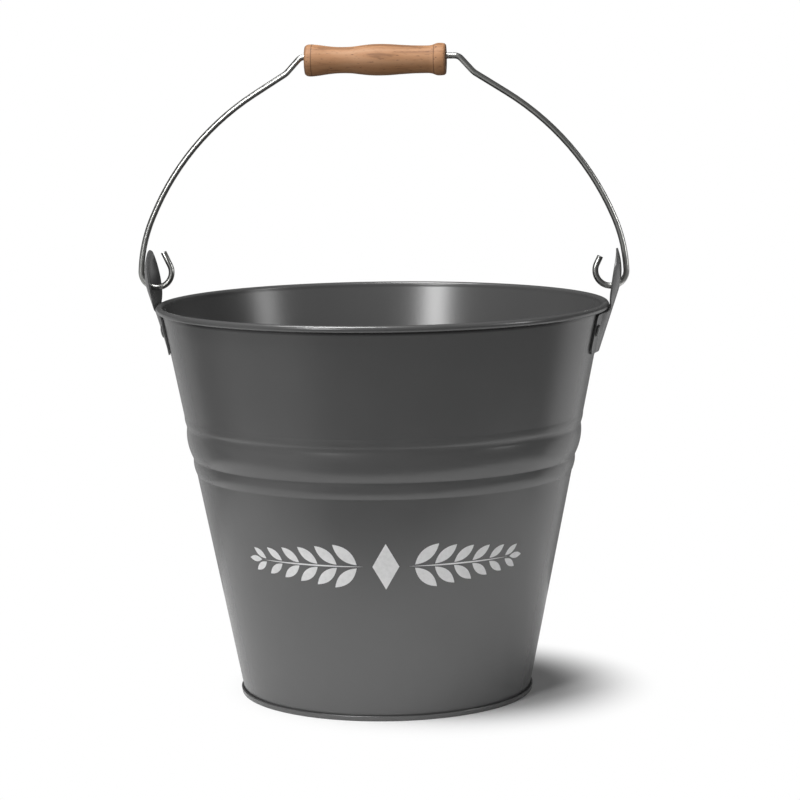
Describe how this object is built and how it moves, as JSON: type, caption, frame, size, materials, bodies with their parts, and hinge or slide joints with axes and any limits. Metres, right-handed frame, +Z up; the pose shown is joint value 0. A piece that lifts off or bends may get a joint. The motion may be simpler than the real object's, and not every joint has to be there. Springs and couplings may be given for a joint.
{
  "type": "log bucket",
  "caption": "Tapered sheet-steel bucket for logs or kindling, with a rolled rim, swaged ribs, riveted ears, a swinging wire bail and a turned wooden grip.",
  "frame": {"origin": "on the bucket's own axis, at the floor that the foot stands on", "axes": "+Z up along the bucket's axis; +X towards the right ear, along the bail's pivot axis; +Y to the back, away from the pictured front"},
  "size_m": [0.3264, 0.3, 0.4305],
  "materials": {
    "charcoal_paint": "satin charcoal paint on galvanised sheet steel",
    "charcoal_paint_base": "satin charcoal paint on galvanised sheet steel",
    "charcoal_paint_ear": "satin charcoal paint on pressed sheet steel",
    "painted_rivet": "satin charcoal paint over a steel rivet",
    "rim_core_steel": "bare drawn steel wire",
    "zinc_wire": "bright zinc-plated steel wire",
    "stained_beech": "turned hardwood, stained light brown and lacquered"
  },
  "bodies": {
    "bucket": {"bucket_wall": "charcoal_paint", "rim_wire": "rim_core_steel", "base": "charcoal_paint_base", "left_ear": "charcoal_paint_ear", "right_ear": "charcoal_paint_ear", "left_ear_front_rivet": "painted_rivet", "left_ear_rear_rivet": "painted_rivet", "right_ear_front_rivet": "painted_rivet", "right_ear_rear_rivet": "painted_rivet"},
    "bail": {"bail_wire": "zinc_wire"},
    "grip": {"wooden_grip": "stained_beech"}
  },
  "joints": [
    {"name": "bail_swing", "type": "hinge", "parent": "bucket", "child": "bail", "pos_m": [0, 0, 0.2724], "axis": [1, 0, 0], "range_deg": [-90, 90]},
    {"name": "grip_spin", "type": "hinge", "parent": "bail", "child": "grip", "pos_m": [-0.0026, 0, 0.4199], "axis": [1, 0, 0], "continuous": true}
  ]
}
